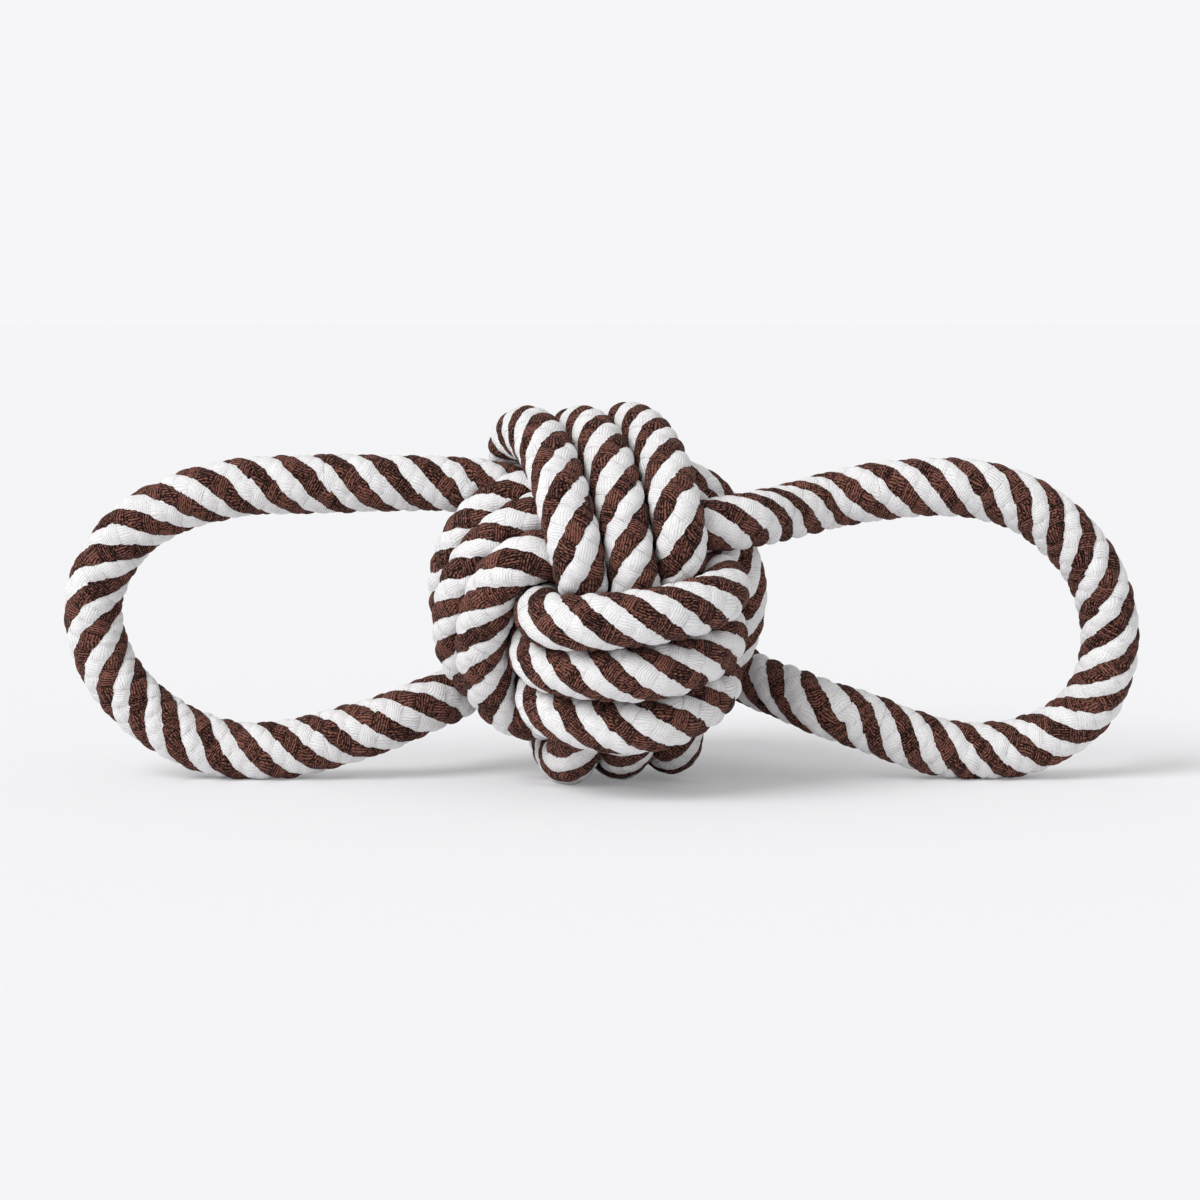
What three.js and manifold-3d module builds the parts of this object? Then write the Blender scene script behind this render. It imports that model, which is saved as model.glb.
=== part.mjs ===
// Rope dog toy: a three-turn monkey's fist knot with a loop handle on each side, tied from one rope.
// Millimetres. X runs along the handles, Y away from the viewer and Z up.
// The origin is on the floor under the middle.

import * as THREE from "three";
import ManifoldModule from "manifold-3d";

// Rope
const ROPE_DIAMETER = 14;
const ROPE_SIDES = 10;
const STATION_STEP = 4; // between two stations of the rope's middle line
const KNOT_RING_STATIONS = 1.25; // stations between two rings of a strand in the knot
const HANDLE_RING_STATIONS = 2;
const STRAND_SPACING = 12.4; // between the middles of two strands that press on each other in the knot
const STRAND_GAP = 1; // air left between the surfaces of two strands
const END_GAP = 0.3; // between the faces of two stretches of the rope
const DOME_RINGS = 3;

// Thread bound round the two cut ends
const WHIPPING_WIDTH = 9;
const WHIPPING_THREAD = 0.8;
const WHIPPING_INSET = 2; // bare rope past the thread

// Knot: its middle, and the way its left, top and front faces look
const KNOT_MIDDLE = new THREE.Vector3(-1.5, -1.5, 47);
const FACE_LEFT = new THREE.Vector3(-0.98, -0.18, -0.1).normalize();
const FACE_TOP = new THREE.Vector3(-0.03, -0.36, 0.93).normalize();
const FACE_FRONT = new THREE.Vector3(0.2, -0.91, -0.36).normalize();

// The three windings in the order they are tied. A winding goes over the faces at +-over and under
// the strands on the faces at +-under, and its turns lie side by side along across. Its loops are
// rounded rectangles, shifted a little off the knot's middle.
const FIRST_WINDING = {
  shift: new THREE.Vector3(-1.9, 0, 0),
  over: new THREE.Vector3(0.055, -0.372, 0.927).normalize(),
  under: new THREE.Vector3(0.217, -0.9, -0.379).normalize(),
  across: new THREE.Vector3(-0.975, -0.21, 0.07).normalize(),
  overReach: 39.5,
  underReach: 32,
  squareness: 2.45,
  pitch: -13.5,
  offset: 13.2,
  overRound: 84,
  underRound: 42.8,
  fromDegrees: -55,
  toDegrees: 890,
};
const SECOND_WINDING = {
  shift: new THREE.Vector3(0.5, -0.8, 1),
  over: new THREE.Vector3(0.28, -0.902, -0.327).normalize(),
  under: new THREE.Vector3(-0.983, -0.186, -0.005).normalize(),
  across: new THREE.Vector3(0.055, -0.338, 0.939).normalize(),
  overReach: 43.7,
  underReach: 22.5,
  squareness: 2.7,
  pitch: -14.35,
  offset: 13.4,
  overRound: 60,
  underRound: 25,
  fromDegrees: -80,
  toDegrees: 885,
};
const THIRD_WINDING = {
  shift: new THREE.Vector3(0, 0, 0),
  over: new THREE.Vector3(-0.971, -0.201, -0.132).normalize(),
  under: new THREE.Vector3(-0.002, -0.438, 0.899).normalize(),
  across: new THREE.Vector3(0.2, -0.874, -0.442).normalize(),
  overReach: 35.5,
  underReach: 27.8,
  squareness: 2.5,
  pitch: 12.6,
  offset: -22,
  overRound: 27,
  underRound: 30.6,
  fromDegrees: 1175,
  toDegrees: 75,
};
const WINDING_STEP_DEGREES = 15;

// The rope's first end, coiled up in the middle of the knot to fill it
const CORE_RADIUS = 9.5;
const CORE_PITCH = 12.8;
const CORE_TURNS = 2.2;
const CORE_STEP_DEGREES = 20;

// Hand-chosen points of the free stretches.
// Those in the knot count from its middle towards left, top and front.
const CORE_EXIT = [[12, 10, -19]];
const FIRST_TURN = [[-15, -26, -28], [-13, -8, -29], [-14, 6, -26], [-18, 14, -15]];
const SECOND_EXIT = [[-15, -24, -39], [-28, -28, -30], [-35, -31, -19]];
const TAIL_TUCK = [[32, -29, -12], [26, -28, -18], [20, -23, -22]];
const RIGHT_HANDLE = [
  [37, 18.5, 23], [46.5, 8.5, 20.8], [56, 1.5, 17.6], [66, 1.5, 14.3], [77, 1.5, 10.1], [87, 1.5, 7.4],
  [97, 1.5, 6.9], [106.5, 1.5, 8.4], [115, 1.5, 12.2], [121.9, 1.5, 18.4], [126, 1.5, 26.8],
  [127.2, 1.5, 36], [125.6, 1.5, 45.6], [121.6, 1.5, 54.4], [114.6, 1.5, 62.6], [105.6, 1.5, 69],
  [95.6, 1.5, 72.4], [85.6, 1.5, 73.4], [75, 1.5, 73], [65, 1.5, 71.7], [56, 1.5, 69.8],
  [47.5, -3.5, 68], [38.5, -10.5, 66.4], [28, -17.5, 65],
];
const LEFT_HANDLE = [
  [-38, 1.5, 74.3], [-47, 1.5, 74.4], [-56, 1.5, 74.4], [-66, 1.5, 74.3], [-77, 1.5, 74], [-88, 1.5, 73.6],
  [-99.8, 1.5, 71.4], [-110.2, 1.5, 67.5], [-118.1, 1.5, 62.1], [-123.7, 1.5, 54.9], [-127.3, 1.5, 46],
  [-127, 1.5, 37], [-123.8, 1.5, 27.9], [-117.9, 1.5, 20.2], [-110.8, 1.5, 14.2], [-102.5, 1.5, 9.8],
  [-93.5, 1.5, 7.2], [-84.5, 1.5, 6.9], [-75, 1.5, 8.2], [-66, 1.5, 10.6], [-56, 1.5, 13.6],
  [-47, 3.5, 17], [-39, 8.5, 19.8],
];

// Where the handles bend: they swing at the knot and fold part of the way out
const LEFT_SWING_X = -56;
const LEFT_FOLD_X = -82;
const RIGHT_SWING_X = 56;
const RIGHT_FOLD_X = 82;

// Settling of the strands in the knot
const SETTLE_ROUNDS = 160;
const SETTLE_PUSH = 0.25;
const SETTLE_HOLD = 0.02;
const SETTLE_LIMIT = 1; // most that a station moves in a round
const SMOOTHING = 0.2;
const SMOOTHING_PASSES = 4;
const LAST_SMOOTHING_PASSES = 6;
const FREE_REACH = 43; // stations further from the middle than this stay where the handles' points put them
const SAME_STRAND = 1.9 * ROPE_DIAMETER; // stations nearer than this along the rope don't press on each other

const ROPE_RADIUS = ROPE_DIAMETER / 2;
const FLOOR_BLOCK = 400;
const HALVINGS = 40; // of the stretch in which a crossing is looked for
const NEARLY_UPRIGHT = 0.1; // sine of the angle to the vertical

const ropeLook = new THREE.MeshStandardMaterial({ color: 0x8a7670, roughness: 0.95, metalness: 0 });
const threadLook = new THREE.MeshStandardMaterial({ color: 0xe8e4dc, roughness: 0.9, metalness: 0 });

// Points of the route

function knotPoint([left, top, front]) {
  return KNOT_MIDDLE.clone()
    .addScaledVector(FACE_LEFT, left)
    .addScaledVector(FACE_TOP, top)
    .addScaledVector(FACE_FRONT, front);
}

function rounded(value, squareness) {
  return Math.sign(value) * Math.abs(value) ** (2 / squareness);
}

function windingPoints(winding) {
  const sweep = winding.toDegrees - winding.fromDegrees;
  const count = Math.round(Math.abs(sweep) / WINDING_STEP_DEGREES);
  const points = [];
  for (let i = 0; i <= count; i += 1) {
    const degrees = winding.fromDegrees + (sweep * i) / count;
    const angle = THREE.MathUtils.degToRad(degrees);
    const offset = winding.offset + (winding.pitch * degrees) / 360;
    const over = winding.overReach * Math.sqrt(1 - (offset / winding.overRound) ** 2);
    const under = winding.underReach * Math.sqrt(1 - (offset / winding.underRound) ** 2);
    points.push(
      KNOT_MIDDLE.clone()
        .add(winding.shift)
        .addScaledVector(winding.across, offset)
        .addScaledVector(winding.over, over * rounded(Math.cos(angle), winding.squareness))
        .addScaledVector(winding.under, under * rounded(Math.sin(angle), winding.squareness)),
    );
  }
  return points;
}

function corePoints() {
  const count = Math.round((360 * CORE_TURNS) / CORE_STEP_DEGREES);
  const points = [];
  for (let i = 0; i <= count; i += 1) {
    const angle = THREE.MathUtils.degToRad((i - count) * CORE_STEP_DEGREES);
    const front = CORE_PITCH * CORE_TURNS * (0.5 - i / count);
    points.push(knotPoint([CORE_RADIUS * Math.cos(angle), CORE_RADIUS * Math.sin(angle), front]));
  }
  return points;
}

const stretches = [
  ["core", corePoints()],
  ["coreExit", CORE_EXIT.map(knotPoint)],
  ["first", windingPoints(FIRST_WINDING)],
  ["firstTurn", FIRST_TURN.map(knotPoint)],
  ["second", windingPoints(SECOND_WINDING)],
  ["secondExit", SECOND_EXIT.map(knotPoint)],
  ["rightHandle", RIGHT_HANDLE.map((p) => new THREE.Vector3(...p))],
  ["third", windingPoints(THIRD_WINDING)],
  ["leftHandle", LEFT_HANDLE.map((p) => new THREE.Vector3(...p))],
  ["tail", TAIL_TUCK.map(knotPoint)],
];

// Evenly spaced stations along a smooth curve through the points, and where each stretch lies among them

function layStations() {
  const points = stretches.flatMap(([, list]) => list);
  const curve = new THREE.CatmullRomCurve3(points, false, "centripetal");
  const perPoint = 12;
  const fine = curve.getPoints((points.length - 1) * perPoint);
  const along = [0];
  for (let i = 1; i < fine.length; i += 1) {
    along.push(along[i - 1] + fine[i].distanceTo(fine[i - 1]));
  }
  const length = along[along.length - 1];
  const count = Math.round(length / STATION_STEP);
  const stations = [];
  let k = 0;
  for (let i = 0; i <= count; i += 1) {
    const target = (length * i) / count;
    while (k < fine.length - 2 && along[k + 1] < target) {
      k += 1;
    }
    const share = (target - along[k]) / (along[k + 1] - along[k]);
    stations.push(fine[k].clone().lerp(fine[k + 1], share));
  }
  const spans = {};
  let first = 0;
  for (const [name, list] of stretches) {
    const last = first + list.length - 1;
    spans[name] = [
      (along[first * perPoint] / length) * count,
      (along[last * perPoint] / length) * count,
    ];
    first = last + 1;
  }
  return { stations, spans, step: length / count };
}

// One pass of bending stiffness: each free station moves towards a fair curve through its neighbours

function smooth(points, free) {
  const lean = points.map((p, i) => {
    if (i === 0 || i === points.length - 1) {
      return new THREE.Vector3();
    }
    return points[i - 1].clone().add(points[i + 1]).multiplyScalar(0.5).sub(p);
  });
  return points.map((p, i) => {
    if (!free[i] || i === 0 || i === points.length - 1) {
      return p.clone();
    }
    const around = lean[i - 1].clone().add(lean[i + 1]).multiplyScalar(0.5);
    return p.clone().addScaledVector(lean[i].clone().sub(around), SMOOTHING);
  });
}

// Strands that lie too close push each other apart, as they do when the knot is drawn tight

function settle(start, step) {
  const free = start.map((p) => Math.abs(p.x) < FREE_REACH);
  const apart = Math.ceil(SAME_STRAND / step);
  let points = start.map((p) => p.clone());
  for (let round = 0; round < SETTLE_ROUNDS; round += 1) {
    const moves = points.map(() => new THREE.Vector3());
    for (let i = 0; i < points.length; i += 1) {
      for (let j = i + apart; j < points.length; j += 1) {
        const away = points[i].clone().sub(points[j]);
        const distance = away.length();
        if (distance < STRAND_SPACING) {
          away.multiplyScalar((SETTLE_PUSH * (STRAND_SPACING - distance)) / distance);
          moves[i].add(away);
          moves[j].sub(away);
        }
      }
    }
    let fair = points;
    for (let pass = 0; pass < SMOOTHING_PASSES; pass += 1) {
      fair = smooth(fair, free);
    }
    points = points.map((p, i) => {
      if (!free[i]) {
        return p;
      }
      const move = moves[i].add(fair[i]).sub(p).addScaledVector(start[i].clone().sub(p), SETTLE_HOLD);
      return p.clone().add(move.clampLength(0, SETTLE_LIMIT));
    });
  }
  for (let pass = 0; pass < LAST_SMOOTHING_PASSES; pass += 1) {
    points = smooth(points, free);
  }
  return points;
}

const laid = layStations();
const rope = settle(laid.stations, laid.step);
const spans = laid.spans;
const middleLine = new THREE.CatmullRomCurve3(rope, false, "centripetal");
const sameStrandStations = Math.ceil(SAME_STRAND / laid.step);
const FINE = 2; // points of the middle line for each station, where strands are measured against each other
const finePoints = middleLine.getPoints(FINE * (rope.length - 1));

function placeAt(station) {
  const share = station / (rope.length - 1);
  return {
    station,
    centre: middleLine.getPoint(share),
    tangent: middleLine.getTangent(share),
  };
}

// The station between two others where the rope crosses a plane of constant x

function stationAtX(x, from, to) {
  let low = from;
  let high = to;
  const side = Math.sign(placeAt(low).centre.x - x);
  for (let i = 0; i < HALVINGS; i += 1) {
    const middle = (low + high) / 2;
    if (Math.sign(placeAt(middle).centre.x - x) === side) {
      low = middle;
    } else {
      high = middle;
    }
  }
  return low;
}

// How far the rope's surface reaches in one direction before it meets a neighbour half way

function reachTowards(place, direction) {
  let reach = ROPE_RADIUS;
  const between = new THREE.Vector3();
  for (let j = 0; j < finePoints.length; j += 1) {
    if (Math.abs(j / FINE - place.station) < sameStrandStations) {
      continue;
    }
    between.subVectors(finePoints[j], place.centre);
    const facing = between.dot(direction);
    if (facing > 0) {
      reach = Math.min(reach, (between.lengthSq() / 2 - (STRAND_GAP / 2) * between.length()) / facing);
    }
  }
  return reach;
}

// Places along a stretch. Each end is a flat face a little short of its station, or a dome centred on it.

function moved(place, distance) {
  const centre = place.centre.clone().addScaledVector(place.tangent, distance);
  return { station: place.station, centre, tangent: place.tangent, shrink: 1 };
}

function domePlaces(place, sign) {
  const places = [];
  for (let i = DOME_RINGS; i > 0; i -= 1) {
    const angle = (Math.PI / 2) * (i / (DOME_RINGS + 1));
    const ring = moved(place, sign * ROPE_RADIUS * Math.sin(angle));
    ring.shrink = Math.cos(angle);
    places.push(ring);
  }
  places.push(moved(place, 0));
  return places;
}

function stretchPlaces(from, to, start, end) {
  const inKnot = Math.abs(placeAt((from + to) / 2).centre.x) < FREE_REACH;
  const ringStations = inKnot ? KNOT_RING_STATIONS : HANDLE_RING_STATIONS;
  const first = placeAt(from);
  const last = placeAt(to);
  const places = start.dome ? domePlaces(first, -1) : [moved(first, start.trim)];
  const low = from + 1 + (start.trim ?? 0) / laid.step;
  const high = to - 1 - (end.trim ?? 0) / laid.step;
  const count = Math.max(1, Math.round((high - low) / ringStations));
  for (let i = 0; i <= count; i += 1) {
    places.push(moved(placeAt(low + ((high - low) * i) / count), 0));
  }
  places.push(...(end.dome ? domePlaces(last, 1).reverse() : [moved(last, -end.trim)]));
  return places;
}

// A frame at each place that turns as little as it can along the rope, and a ring of points in it

function turnFrames(places) {
  const side = new THREE.Vector3(0, 0, 1).cross(places[0].tangent);
  if (side.length() < NEARLY_UPRIGHT) {
    side.set(1, 0, 0);
  }
  for (const place of places) {
    side.addScaledVector(place.tangent, -side.dot(place.tangent)).normalize();
    place.side = side.clone();
    place.other = place.tangent.clone().cross(side);
  }
}

function ringDirections(place) {
  const directions = [];
  for (let k = 0; k < ROPE_SIDES; k += 1) {
    const angle = (2 * Math.PI * (k + 0.5)) / ROPE_SIDES;
    const direction = place.side.clone().multiplyScalar(Math.cos(angle));
    directions.push(direction.addScaledVector(place.other, Math.sin(angle)));
  }
  return directions;
}

function ringAt(place, limit = ROPE_RADIUS) {
  return ringDirections(place).map((direction) => {
    const reach = Math.min(limit, reachTowards(place, direction)) * place.shrink;
    return place.centre.clone().addScaledVector(direction, reach);
  });
}

function geometryOf(points, triangles) {
  const geometry = new THREE.BufferGeometry();
  geometry.setAttribute("position", new THREE.Float32BufferAttribute(points.flatMap((p) => p.toArray()), 3));
  geometry.setIndex(triangles);
  return geometry;
}

function joinRings(triangles, a, b) {
  for (let k = 0; k < ROPE_SIDES; k += 1) {
    const next = (k + 1) % ROPE_SIDES;
    triangles.push(a + k, a + next, b + next, a + k, b + next, b + k);
  }
}

function middleOf(points) {
  const sum = points.reduce((total, p) => total.add(p), new THREE.Vector3());
  return sum.divideScalar(points.length);
}

// A solid stretch of rope: a skin over its rings, closed by a point in the middle of each end

function ropeSolid(rings, startTip, endTip) {
  const points = rings.flat();
  const triangles = [];
  for (let i = 0; i + 1 < rings.length; i += 1) {
    joinRings(triangles, i * ROPE_SIDES, (i + 1) * ROPE_SIDES);
  }
  const last = (rings.length - 1) * ROPE_SIDES;
  const startPoint = points.push(startTip) - 1;
  const endPoint = points.push(endTip) - 1;
  for (let k = 0; k < ROPE_SIDES; k += 1) {
    const next = (k + 1) % ROPE_SIDES;
    triangles.push(startPoint, next, k, endPoint, last + k, last + next);
  }
  return geometryOf(points, triangles);
}

// A bound band of thread: an outer and an inner skin joined at both ends

function bandSolid(outer, inner) {
  const triangles = [];
  const last = outer.length - 1;
  const innerStart = outer.length * ROPE_SIDES;
  for (let i = 0; i < last; i += 1) {
    joinRings(triangles, i * ROPE_SIDES, (i + 1) * ROPE_SIDES);
    const wall = [];
    joinRings(wall, innerStart + i * ROPE_SIDES, innerStart + (i + 1) * ROPE_SIDES);
    triangles.push(...wall.reverse());
  }
  joinRings(triangles, innerStart, 0);
  joinRings(triangles, last * ROPE_SIDES, innerStart + last * ROPE_SIDES);
  return geometryOf([...outer, ...inner].flat(), triangles);
}

// The floor takes a flat off whatever stands on it

const manifold = await ManifoldModule();
manifold.setup();

function manifoldOf(geometry) {
  const vertProperties = new Float32Array(geometry.getAttribute("position").array);
  const triVerts = new Uint32Array(geometry.getIndex().array);
  return new manifold.Manifold(new manifold.Mesh({ numProp: 3, vertProperties, triVerts }));
}

function boxSolid(size, centre) {
  const half = size / 2;
  const corners = [];
  for (const z of [-half, half]) {
    for (const [x, y] of [[-half, -half], [half, -half], [half, half], [-half, half]]) {
      corners.push(new THREE.Vector3(x, y, z).add(centre));
    }
  }
  const triangles = [0, 2, 1, 0, 3, 2, 4, 5, 6, 4, 6, 7];
  for (let k = 0; k < 4; k += 1) {
    const next = (k + 1) % 4;
    triangles.push(k, next, next + 4, k, next + 4, k + 4);
  }
  return geometryOf(corners, triangles);
}

const floorBlock = manifoldOf(boxSolid(FLOOR_BLOCK, new THREE.Vector3(0, 0, -FLOOR_BLOCK / 2)));

function standOnFloor(geometry) {
  const mesh = manifoldOf(geometry).subtract(floorBlock).getMesh();
  const flat = new THREE.BufferGeometry();
  flat.setAttribute("position", new THREE.BufferAttribute(mesh.vertProperties, 3));
  flat.setIndex(new THREE.BufferAttribute(mesh.triVerts, 1));
  return flat;
}

// Assembly

const toy = new THREE.Group();

function addNode(name, geometry, look) {
  const mesh = new THREE.Mesh(geometry, look);
  mesh.name = name;
  toy.add(mesh);
}

const FACE = { trim: END_GAP / 2 };
const SOCKET = { trim: ROPE_RADIUS + END_GAP };
const DOME = { dome: true };

function endTip(place, end, sign) {
  return end.dome ? place.centre.clone().addScaledVector(place.tangent, sign * ROPE_RADIUS) : null;
}

function addStretch(name, from, to, start, end) {
  const places = stretchPlaces(from, to, start, end);
  turnFrames(places);
  const rings = places.map((place) => ringAt(place));
  const startTip = endTip(placeAt(from), start, -1) ?? middleOf(rings[0]);
  const lastTip = endTip(placeAt(to), end, 1) ?? middleOf(rings[rings.length - 1]);
  const solid = ropeSolid(rings, startTip, lastTip);
  solid.computeBoundingBox();
  addNode(name, solid.boundingBox.min.z < 0 ? standOnFloor(solid) : solid, ropeLook);
  return { places, rings };
}

// A cut end of the rope, drawn in where thread is bound round it, and the thread itself

function addWhippedEnd(name, from, to, join, cutAtStart) {
  const away = cutAtStart ? 1 : -1;
  const cut = cutAtStart ? from : to;
  const inner = cut + (away * WHIPPING_INSET) / laid.step;
  const outer = inner + (away * WHIPPING_WIDTH) / laid.step;
  const bound = [0, 0.5, 1].map((share) => moved(placeAt(inner + (outer - inner) * share), 0));
  const drawnIn = [moved(placeAt(cut), 0), ...bound, moved(placeAt(outer), away * END_GAP)];
  const neck = moved(placeAt(outer), away * END_GAP);
  const rest = cutAtStart
    ? stretchPlaces(outer + 1, to, { trim: 0 }, join)
    : stretchPlaces(from, outer - 1, join, { trim: 0 }).reverse();
  const places = [...drawnIn, neck, ...rest];
  if (!cutAtStart) {
    places.reverse();
  }
  turnFrames(places);
  const reaches = drawnIn.flatMap((place) => ringDirections(place).map((way) => reachTowards(place, way)));
  const outside = Math.min(...reaches);
  const inside = outside - WHIPPING_THREAD;
  const limitAt = (place) => (drawnIn.includes(place) ? inside - END_GAP : ROPE_RADIUS);
  const rings = places.map((place) => ringAt(place, limitAt(place)));
  addNode(name, ropeSolid(rings, middleOf(rings[0]), middleOf(rings[rings.length - 1])), ropeLook);
  const band = cutAtStart ? bound : bound.slice().reverse();
  const outerRings = band.map((place) => ringAt(place, outside));
  const innerRings = band.map((place) => ringAt(place, inside));
  addNode(`${name}_whipping`, bandSolid(outerRings, innerRings), threadLook);
}

const middleOfSpan = ([from, to]) => (from + to) / 2;
const rightMiddle = middleOfSpan(spans.rightHandle);
const leftMiddle = middleOfSpan(spans.leftHandle);
const rightLowSwing = stationAtX(RIGHT_SWING_X, spans.rightHandle[0], rightMiddle);
const rightLowFold = stationAtX(RIGHT_FOLD_X, spans.rightHandle[0], rightMiddle);
const rightHighFold = stationAtX(RIGHT_FOLD_X, rightMiddle, spans.rightHandle[1]);
const rightHighSwing = stationAtX(RIGHT_SWING_X, rightMiddle, spans.rightHandle[1]);
const leftHighSwing = stationAtX(LEFT_SWING_X, spans.leftHandle[0], leftMiddle);
const leftHighFold = stationAtX(LEFT_FOLD_X, spans.leftHandle[0], leftMiddle);
const leftLowFold = stationAtX(LEFT_FOLD_X, leftMiddle, spans.leftHandle[1]);
const leftLowSwing = stationAtX(LEFT_SWING_X, leftMiddle, spans.leftHandle[1]);
const firstStart = spans.first[0];
const secondStart = spans.second[0];
const secondEnd = spans.second[1];
const thirdStart = spans.third[0];
const thirdEnd = spans.third[1];
const ropeEnd = rope.length - 1;

addWhippedEnd("core_coil", 0, firstStart, FACE, true);
const windings = {
  first_winding: addStretch("first_winding", firstStart, secondStart, FACE, FACE),
  second_winding: addStretch("second_winding", secondStart, secondEnd, FACE, FACE),
  third_winding: addStretch("third_winding", thirdStart, thirdEnd, FACE, FACE),
};
addStretch("right_lower_root", secondEnd, rightLowSwing, FACE, SOCKET);
addStretch("right_lower_leg", rightLowSwing, rightLowFold, DOME, SOCKET);
addStretch("right_bight", rightLowFold, rightHighFold, DOME, DOME);
addStretch("right_upper_leg", rightHighFold, rightHighSwing, SOCKET, DOME);
addStretch("right_upper_root", rightHighSwing, thirdStart, SOCKET, FACE);
addStretch("left_upper_root", thirdEnd, leftHighSwing, FACE, SOCKET);
addStretch("left_upper_leg", leftHighSwing, leftHighFold, DOME, SOCKET);
addStretch("left_bight", leftHighFold, leftLowFold, DOME, DOME);
addStretch("left_lower_leg", leftLowFold, leftLowSwing, SOCKET, DOME);
addWhippedEnd("tucked_tail", leftLowSwing, ropeEnd, SOCKET, false);

// The least gap of each winding to itself, on the points of its rings

function leastGap({ places, rings }) {
  let least = Infinity;
  for (let i = 0; i < rings.length; i += 1) {
    for (let j = i + 1; j < rings.length; j += 1) {
      if (places[j].station - places[i].station < sameStrandStations) {
        continue;
      }
      for (const a of rings[i]) {
        for (const b of rings[j]) {
          least = Math.min(least, a.distanceTo(b));
        }
      }
    }
  }
  return least;
}

for (const [name, winding] of Object.entries(windings)) {
  console.log(`${name}: least gap to itself ${leastGap(winding).toFixed(2)} mm`);
}
console.log(`rope: ${(middleLine.getLength() / 1000).toFixed(2)} m`);

export default toy;
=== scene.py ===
"""Rope dog toy: a monkey's fist knot with a loop handle on each side, tied from one striped cotton rope."""

import math

import bpy
import numpy as np
from mathutils import Matrix, Vector


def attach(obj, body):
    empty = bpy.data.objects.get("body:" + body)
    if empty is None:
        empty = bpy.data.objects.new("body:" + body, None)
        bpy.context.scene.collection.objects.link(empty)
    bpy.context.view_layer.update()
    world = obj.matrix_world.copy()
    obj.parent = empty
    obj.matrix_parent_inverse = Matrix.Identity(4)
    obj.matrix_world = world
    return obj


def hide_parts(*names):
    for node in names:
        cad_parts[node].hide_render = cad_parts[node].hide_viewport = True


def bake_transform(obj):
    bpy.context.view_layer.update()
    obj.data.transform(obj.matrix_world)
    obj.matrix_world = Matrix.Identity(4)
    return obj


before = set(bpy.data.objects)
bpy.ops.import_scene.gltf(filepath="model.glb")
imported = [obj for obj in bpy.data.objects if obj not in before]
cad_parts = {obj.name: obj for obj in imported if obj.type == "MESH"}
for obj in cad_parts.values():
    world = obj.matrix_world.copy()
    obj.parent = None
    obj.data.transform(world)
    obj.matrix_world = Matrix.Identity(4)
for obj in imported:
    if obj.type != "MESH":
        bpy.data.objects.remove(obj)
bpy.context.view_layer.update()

MM = 0.001
NEARLY_ZERO = 1e-6


def add_object(name, data):
    added = bpy.data.objects.new(name, data)
    bpy.context.scene.collection.objects.link(added)
    return added


# Camera: aimed at the middle of the toy from a little above, 0.9 m away

CAMERA_TILT = math.radians(6)
CAMERA_DISTANCE = 900
CAMERA_TARGET = (-0.6, 0, 45.2)
CAMERA_LENS = 108
SENSOR_WIDTH = 36
NEAREST_SEEN = 0.01

tilt_sin, tilt_cos = math.sin(CAMERA_TILT), math.cos(CAMERA_TILT)
view_right = Vector((1, 0, 0))
view_up = Vector((0, tilt_sin, tilt_cos))
view_back = Vector((0, -tilt_cos, tilt_sin))
camera_data = bpy.data.cameras.new("camera")
camera_data.lens = CAMERA_LENS
camera_data.sensor_width = SENSOR_WIDTH
camera_data.clip_start = NEAREST_SEEN
camera = add_object("camera", camera_data)
placing = Matrix((view_right, view_up, view_back)).transposed().to_4x4()
placing.translation = (Vector(CAMERA_TARGET) + view_back * CAMERA_DISTANCE) * MM
camera.matrix_world = placing
bpy.context.scene.camera = camera

# The rope's route in millimetres: the same windings and listed points as the CAD part

ROPE_DIAMETER = 14
ROPE_RADIUS = ROPE_DIAMETER / 2
STATION_STEP = 4
STRAND_SPACING = 12.4
SAME_STRAND = 1.9 * ROPE_DIAMETER
WINDING_STEP_DEGREES = 15
CORE_STEP_DEGREES = 20
CURVE_STEPS = 12


def unit(x, y, z):
    vector = np.array([x, y, z], float)
    return vector / np.linalg.norm(vector)


KNOT_MIDDLE = np.array([-1.5, -1.5, 47.0])
FACE_LEFT = unit(-0.98, -0.18, -0.1)
FACE_TOP = unit(-0.03, -0.36, 0.93)
FACE_FRONT = unit(0.2, -0.91, -0.36)
FIRST_WINDING = dict(
    shift=(-1.9, 0, 0), over=unit(0.055, -0.372, 0.927), under=unit(0.217, -0.9, -0.379),
    across=unit(-0.975, -0.21, 0.07), over_reach=39.5, under_reach=32, squareness=2.45,
    pitch=-13.5, offset=13.2, over_round=84, under_round=42.8, start=-55, end=890,
)
SECOND_WINDING = dict(
    shift=(0.5, -0.8, 1), over=unit(0.28, -0.902, -0.327), under=unit(-0.983, -0.186, -0.005),
    across=unit(0.055, -0.338, 0.939), over_reach=43.7, under_reach=22.5, squareness=2.7,
    pitch=-14.35, offset=13.4, over_round=60, under_round=25, start=-80, end=885,
)
THIRD_WINDING = dict(
    shift=(0, 0, 0), over=unit(-0.971, -0.201, -0.132), under=unit(-0.002, -0.438, 0.899),
    across=unit(0.2, -0.874, -0.442), over_reach=35.5, under_reach=27.8, squareness=2.5,
    pitch=12.6, offset=-22, over_round=27, under_round=30.6, start=1175, end=75,
)
CORE_RADIUS = 9.5
CORE_PITCH = 12.8
CORE_TURNS = 2.2
CORE_EXIT = [(12, 10, -19)]
FIRST_TURN = [(-15, -26, -28), (-13, -8, -29), (-14, 6, -26), (-18, 14, -15)]
SECOND_EXIT = [(-15, -24, -39), (-28, -28, -30), (-35, -31, -19)]
TAIL_TUCK = [(32, -29, -12), (26, -28, -18), (20, -23, -22)]
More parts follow.
